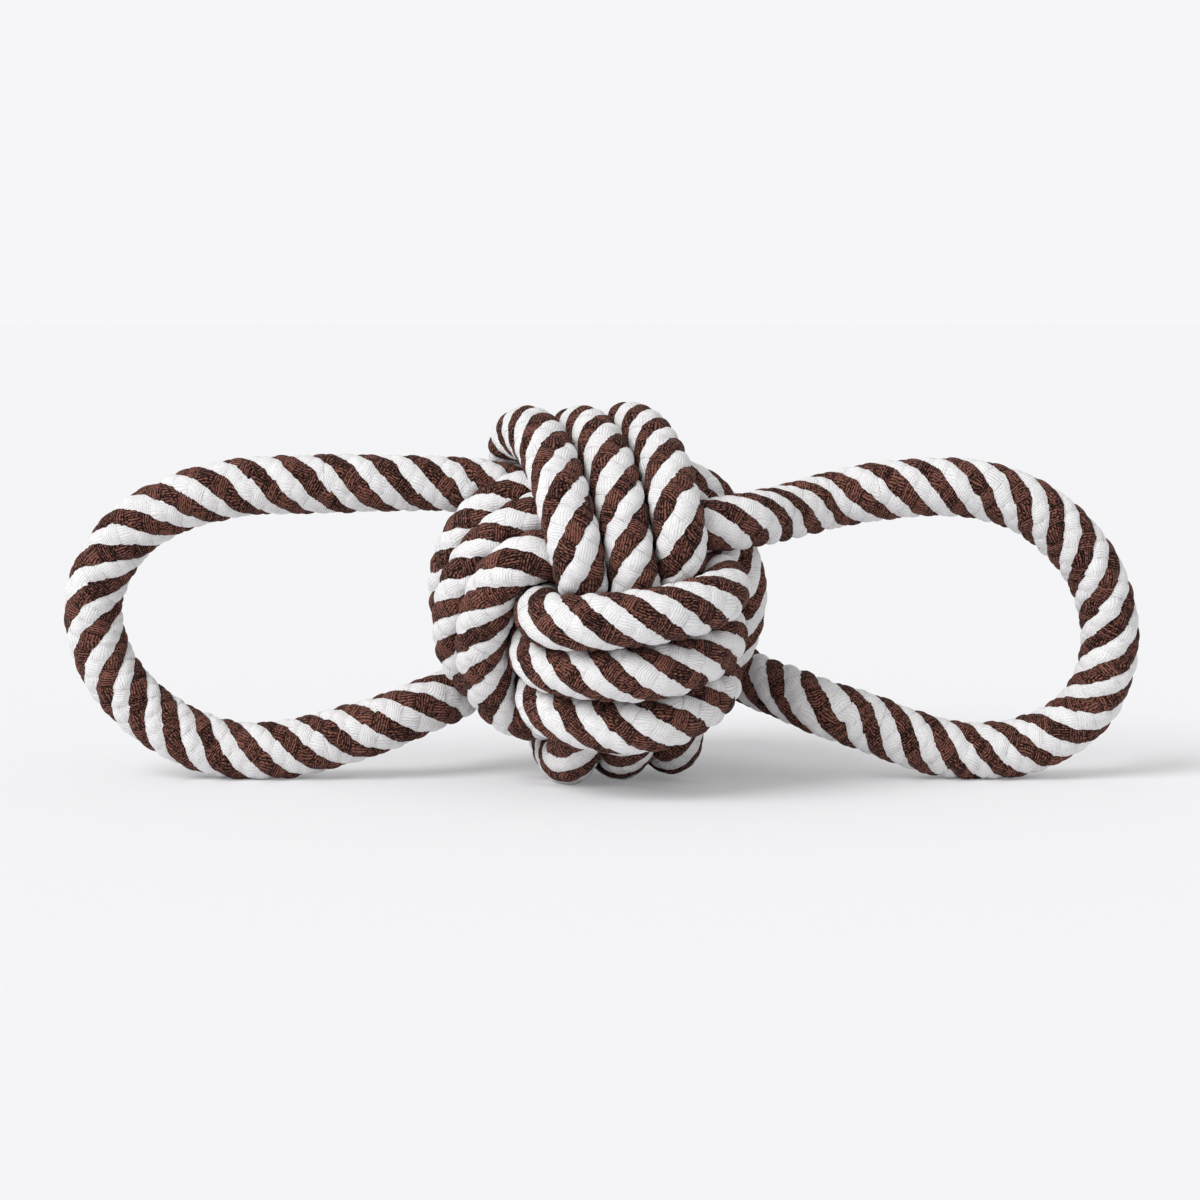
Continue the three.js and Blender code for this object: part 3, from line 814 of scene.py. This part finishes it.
# The brown bands' painted shade colour in the hollows
BROWN_HOLLOW_SHADE = (0.005, 0.0024, 0.002)
PALE_TONES = ((0.78, 0.765, 0.77), (0.88, 0.868, 0.872), (0.93, 0.92, 0.922))
# The pale bands' painted shade colour in the hollows
PALE_HOLLOW_SHADE = (0.52, 0.5, 0.51)


def near_edge(tree, share):
    """One at both ends of a share that runs from nought to one, and nought between them."""
    from_edge = math_node(tree, "MINIMUM", share, one_minus(tree, share))
    return one_minus(tree, times(tree, from_edge, SEAM_SHARPNESS), clamp=True)


def lay_threads(tree, threads, place, band, across):
    """Counts the threads, which lie across the band in one block and along it in the next."""
    wander_place = combine(tree, place, times(tree, across, WANDER_ACROSS), band)
    wander = noise(tree, wander_place, WANDER_DETAIL, WANDER_SCALE)
    block = math_node(tree, "FLOOR", place)
    turned = is_odd(tree, math_node(tree, "ADD", block, band))
    laid_across = times(tree, place, THREADS_IN_BLOCK)
    laid_along = times_plus(tree, place, THREAD_SLANT, times(tree, block, BLOCK_THREADS_APART))
    laid_along = times_plus(tree, across, THREADS_IN_BAND, laid_along)
    thread = choose_value(tree, turned, laid_across, laid_along)
    thread = math_node(tree, "ADD", thread, times(tree, wander, THREAD_WANDER))
    tree.links.new(thread, threads.inputs["Thread"])
    tree.links.new(choose_value(tree, turned, across, place), threads.inputs["Along"])
    tree.links.new(band, threads.inputs["Row"])
    return block


def white_bands(tree, along, around):
    """One on white bands and nought on brown ones, with slightly ragged and wavy edges between them."""
    edge = math_node(tree, "ROUND", around)
    thread = math_node(tree, "FLOOR", times(tree, along, THREADS_IN_BLOCK))
    ragged = math_node(tree, "SUBTRACT", chance(tree, thread, edge, RAGGED_DRAW), 0.5)
    wavy = noise(tree, combine(tree, times(tree, along, WAVES_ALONG), edge, WAVY_DRAW), WAVY_DETAIL)
    wavy = times(tree, math_node(tree, "SUBTRACT", wavy, 0.5), WAVY_EDGE)
    shift = times_plus(tree, ragged, RAGGED_EDGE, wavy)
    stripe = math_node(tree, "FLOOR", math_node(tree, "ADD", around, shift))
    return is_odd(tree, math_node(tree, "ADD", stripe, BANDS))


def make_striped_cotton():
    """Brown and white bands of threads, with painted shade where threads, blocks and bands meet."""
    material, tree, surface, threads = cotton_surface("striped_cotton", ROPE_BUMP)
    weave = tree.nodes.new("ShaderNodeUVMap")
    weave.uv_map = "weave"
    split = tree.nodes.new("ShaderNodeSeparateXYZ")
    tree.links.new(weave.outputs["UV"], split.inputs[0])
    along, around = split.outputs[0], split.outputs[1]
    band = math_node(tree, "FLOOR", around)
    across = math_node(tree, "FRACT", around)
    stagger = math_node(tree, "FRACT", times(tree, band, BLOCK_STAGGER))
    place = times_plus(tree, across, BLOCK_SHIFT / BLOCK_LENGTH, stagger)
    place = math_node(tree, "ADD", along, place)
    block = lay_threads(tree, threads, place, band, across)

    # Painted shade in the hollows: the gaps between threads, the joints between blocks and the creases
    # between bands
    joint = near_edge(tree, math_node(tree, "FRACT", place))
    crease = near_edge(tree, across)
    seam_shade = times_plus(tree, joint, JOINT_SHADE, times(tree, crease, CREASE_SHADE))
    hollow_shade = math_node(tree, "ADD", threads.outputs["GapShade"], seam_shade, clamp=True)
    pad = chance(tree, block, band, PAD_DRAW)
    tint = math_node(tree, "SUBTRACT", threads.outputs["Tint"], PAD_TINT / 2)
    tint = times_plus(tree, pad, PAD_TINT, tint)
    # Patches where the painted shade on the white bands is deeper or fainter
    patch_place = combine(tree, times(tree, place, PATCHES_ALONG), around, PATCH_DRAW)
    patch = noise(tree, patch_place, PATCH_DETAIL)
    patch = times_plus(tree, patch, PATCH_CONTRAST, PATCH_LEVEL, clamp=True)
    # The painted shade darkens each band's colour towards its hollow shade colour
    brown_shade_share = times(tree, hollow_shade, BROWN_SHADE_WEIGHT, clamp=True)
    brown = mix(tree, brown_shade_share, tones(tree, tint, *BROWN_TONES), BROWN_HOLLOW_SHADE)
    pale_shade_share = times(tree, hollow_shade, times_plus(tree, patch, PATCH_SHADE, LEAST_SHADE))
    pale = mix(tree, pale_shade_share, tones(tree, tint, *PALE_TONES), PALE_HOLLOW_SHADE)
    colour = mix(tree, white_bands(tree, along, around), brown, pale)
    tree.links.new(colour, surface.inputs["Base Color"])
    return material


striped_cotton = make_striped_cotton()

THREAD_BUMP = 0.00008
PLIES_PER_METRE = 2200.0
PLY_FIBRES_PER_METRE = 400.0
PLY_ROW = 4.0
THREAD_TONES = ((0.55, 0.5, 0.42), (0.66, 0.61, 0.53), (0.74, 0.7, 0.62))


def make_binding_thread():
    """Pale waxed thread, its plies running aslant, with a painted highlight on each ply's crest."""
    material, tree, surface, threads = cotton_surface("binding_thread", THREAD_BUMP)
    split = tree.nodes.new("ShaderNodeSeparateXYZ")
    tree.links.new(tree.nodes.new("ShaderNodeTexCoord").outputs["Object"], split.inputs[0])
    x, y, z = split.outputs
    slant = math_node(tree, "ADD", x, math_node(tree, "ADD", y, z))
    tree.links.new(times(tree, slant, PLIES_PER_METRE), threads.inputs["Thread"])
    tree.links.new(times(tree, z, PLY_FIBRES_PER_METRE), threads.inputs["Along"])
    threads.inputs["Row"].default_value = PLY_ROW
    # The tint holds the fibres' own tone and a painted highlight on each ply's crest
    tree.links.new(tones(tree, threads.outputs["Tint"], *THREAD_TONES), surface.inputs["Base Color"])
    return material


binding_thread = make_binding_thread()

# Pieces: the rows where each starts and ends

LEFT_SEAM_X = -69
RIGHT_SEAM_X = 69
THREAD_SIDES = 8
THREAD_STEPS = 28

first_start = row_at_station(spans["first"][0])
second_start = row_at_station(spans["second"][0])
second_end = row_at_station(spans["second"][1])
third_start = row_at_station(spans["third"][0])
third_end = row_at_station(spans["third"][1])
right_middle = row_at_station(sum(spans["right_handle"]) / 2)
left_middle = row_at_station(sum(spans["left_handle"]) / 2)
right_low_seam = row_at_x(RIGHT_SEAM_X, second_end, right_middle)
right_high_seam = row_at_x(RIGHT_SEAM_X, right_middle, third_start)
left_high_seam = row_at_x(LEFT_SEAM_X, third_end, left_middle)
left_low_seam = row_at_x(LEFT_SEAM_X, left_middle, row_count)


def whipping(name, end, node):
    """Thread wound side by side round a cut end of the rope."""
    turns = WHIPPING_WIDTH / WHIPPING_THREAD
    steps = np.linspace(0, 1, round(turns * THREAD_STEPS) + 1)
    inset = WHIPPING_INSET + WHIPPING_THREAD / 2 + (WHIPPING_WIDTH - WHIPPING_THREAD) * steps
    place = (inset if end == "core" else fine_along[-1] - inset) / fine_along[-1] * row_count
    lines = (row_middle, row_tangent, row_side, row_other)
    middle, along, side, other = (at_lengths(line, np.arange(row_count + 1), place) for line in lines)
    angle = 2 * math.pi * turns * steps
    out = np.cos(angle)[:, None] * side + np.sin(angle)[:, None] * other
    wound = middle + out * (least_reach(end) - WHIPPING_THREAD / 2)
    sides = np.arange(THREAD_SIDES) * 2 * math.pi / THREAD_SIDES
    around = np.cos(sides)[None, :, None] * out[:, None] + np.sin(sides)[None, :, None] * along[:, None]
    points = (wound[:, None] + around * WHIPPING_THREAD / 2).reshape(-1, 3)
    grid = np.arange(len(points)).reshape(-1, THREAD_SIDES)
    turned = np.roll(grid, -1, axis=1)
    faces = np.stack([grid[:-1], grid[1:], turned[1:], turned[:-1]], axis=-1).reshape(-1, 4).tolist()
    faces += [grid[0].tolist(), grid[-1][::-1].tolist()]
    mesh = bpy.data.meshes.new(name)
    mesh.from_pydata((points * MM).tolist(), [], faces)
    mesh.shade_smooth()
    mesh.materials.append(binding_thread)
    piece = add_object(name, mesh)
    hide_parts(node)
    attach(piece, "knot")


def handle_loop(name, side, first_row, last_row):
    """The free loop of a handle."""
    piece = rope_piece(name, first_row, last_row)
    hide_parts(f"{side}_bight")
    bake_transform(piece)


def handle_run(name, side, first_row, last_row, *nodes):
    """The rope between the knot and a handle's loop."""
    piece = rope_piece(name, first_row, last_row)
    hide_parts(*nodes)
    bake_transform(piece)


def knot_strand(name, first_row, last_row, *nodes):
    """A stretch of the rope that stays in the knot."""
    piece = rope_piece(name, first_row, last_row)
    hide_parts(*nodes)
    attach(piece, "knot")


handle_loop("right_handle_rope", "right", right_low_seam, right_high_seam)
handle_loop("left_handle_rope", "left", left_high_seam, left_low_seam)
handle_run("right_lower_rope", "right", second_end, right_low_seam, "right_lower_root", "right_lower_leg")
handle_run("right_upper_rope", "right", right_high_seam, third_start, "right_upper_root", "right_upper_leg")
handle_run("left_upper_rope", "left", third_end, left_high_seam, "left_upper_root", "left_upper_leg")
handle_run("left_lower_rope", "left", left_low_seam, row_count, "left_lower_leg", "tucked_tail")
knot_strand("core_rope", 0, first_start, "core_coil")
knot_strand("first_winding_rope", first_start, second_start, "first_winding")
knot_strand("second_winding_rope", second_start, second_end, "second_winding")
knot_strand("third_winding_rope", third_start, third_end, "third_winding")
whipping("core_thread", "core", "core_coil_whipping")
whipping("tail_thread", "tail", "tucked_tail_whipping")

# Floor, backdrop and light. The camera sees the floor a little paler than its shade would make it.

FLOOR_COLOUR = (0.923, 0.924, 0.94)
FLOOR_PALE = 0.2
FLOOR_HALF = 4
FLOOR_CORNERS = ((-1, -1), (1, -1), (1, 1), (-1, 1))
SKY_STRENGTH = 0.58
SUN_DIRECTION = (-0.72, -0.6, 0.85)
SUN_STRENGTH = 1.88
SUN_SPREAD = math.radians(36)

floor_mesh = bpy.data.meshes.new("floor")
floor_mesh.from_pydata([(FLOOR_HALF * x, FLOOR_HALF * y, 0) for x, y in FLOOR_CORNERS], [], [(0, 1, 2, 3)])
floor = add_object("floor", floor_mesh)
floor_paper = bpy.data.materials.new("floor_paper")
floor_paper.use_nodes = True
paper = floor_paper.node_tree
floor_surface = paper.nodes["Principled BSDF"]
floor_surface.inputs["Base Color"].default_value = (*FLOOR_COLOUR, 1)
floor_surface.inputs["Roughness"].default_value = 1
floor_surface.inputs["Specular IOR Level"].default_value = 0
floor_glow = paper.nodes.new("ShaderNodeEmission")
floor_glow.inputs["Color"].default_value = (*FLOOR_COLOUR, 1)
floor_seen = paper.nodes.new("ShaderNodeLightPath")
floor_mix = paper.nodes.new("ShaderNodeMixShader")
floor_share = times(paper, floor_seen.outputs["Is Camera Ray"], FLOOR_PALE)
paper.links.new(floor_share, floor_mix.inputs["Fac"])
paper.links.new(floor_surface.outputs[0], floor_mix.inputs[1])
paper.links.new(floor_glow.outputs[0], floor_mix.inputs[2])
paper.links.new(floor_mix.outputs[0], paper.nodes["Material Output"].inputs["Surface"])
floor_mesh.materials.append(floor_paper)

world = bpy.data.worlds.new("studio")
bpy.context.scene.world = world
world.use_nodes = True
sky = world.node_tree
sky_light = sky.nodes["Background"]
sky_light.inputs["Color"].default_value = (1, 1, 1, 1)
sky_light.inputs["Strength"].default_value = SKY_STRENGTH
backdrop = sky.nodes.new("ShaderNodeBackground")
backdrop.inputs["Color"].default_value = (*FLOOR_COLOUR, 1)
sky_seen = sky.nodes.new("ShaderNodeLightPath")
sky_mix = sky.nodes.new("ShaderNodeMixShader")
sky.links.new(sky_seen.outputs["Is Camera Ray"], sky_mix.inputs["Fac"])
sky.links.new(sky_light.outputs[0], sky_mix.inputs[1])
sky.links.new(backdrop.outputs[0], sky_mix.inputs[2])
sky.links.new(sky_mix.outputs[0], sky.nodes["World Output"].inputs["Surface"])

sun_data = bpy.data.lights.new("key_light", "SUN")
sun_data.energy = SUN_STRENGTH
sun_data.angle = SUN_SPREAD
sun = add_object("key_light", sun_data)
sun.rotation_euler = Vector(SUN_DIRECTION).to_track_quat("Z", "Y").to_euler()

bpy.context.scene.view_settings.view_transform = "Standard"
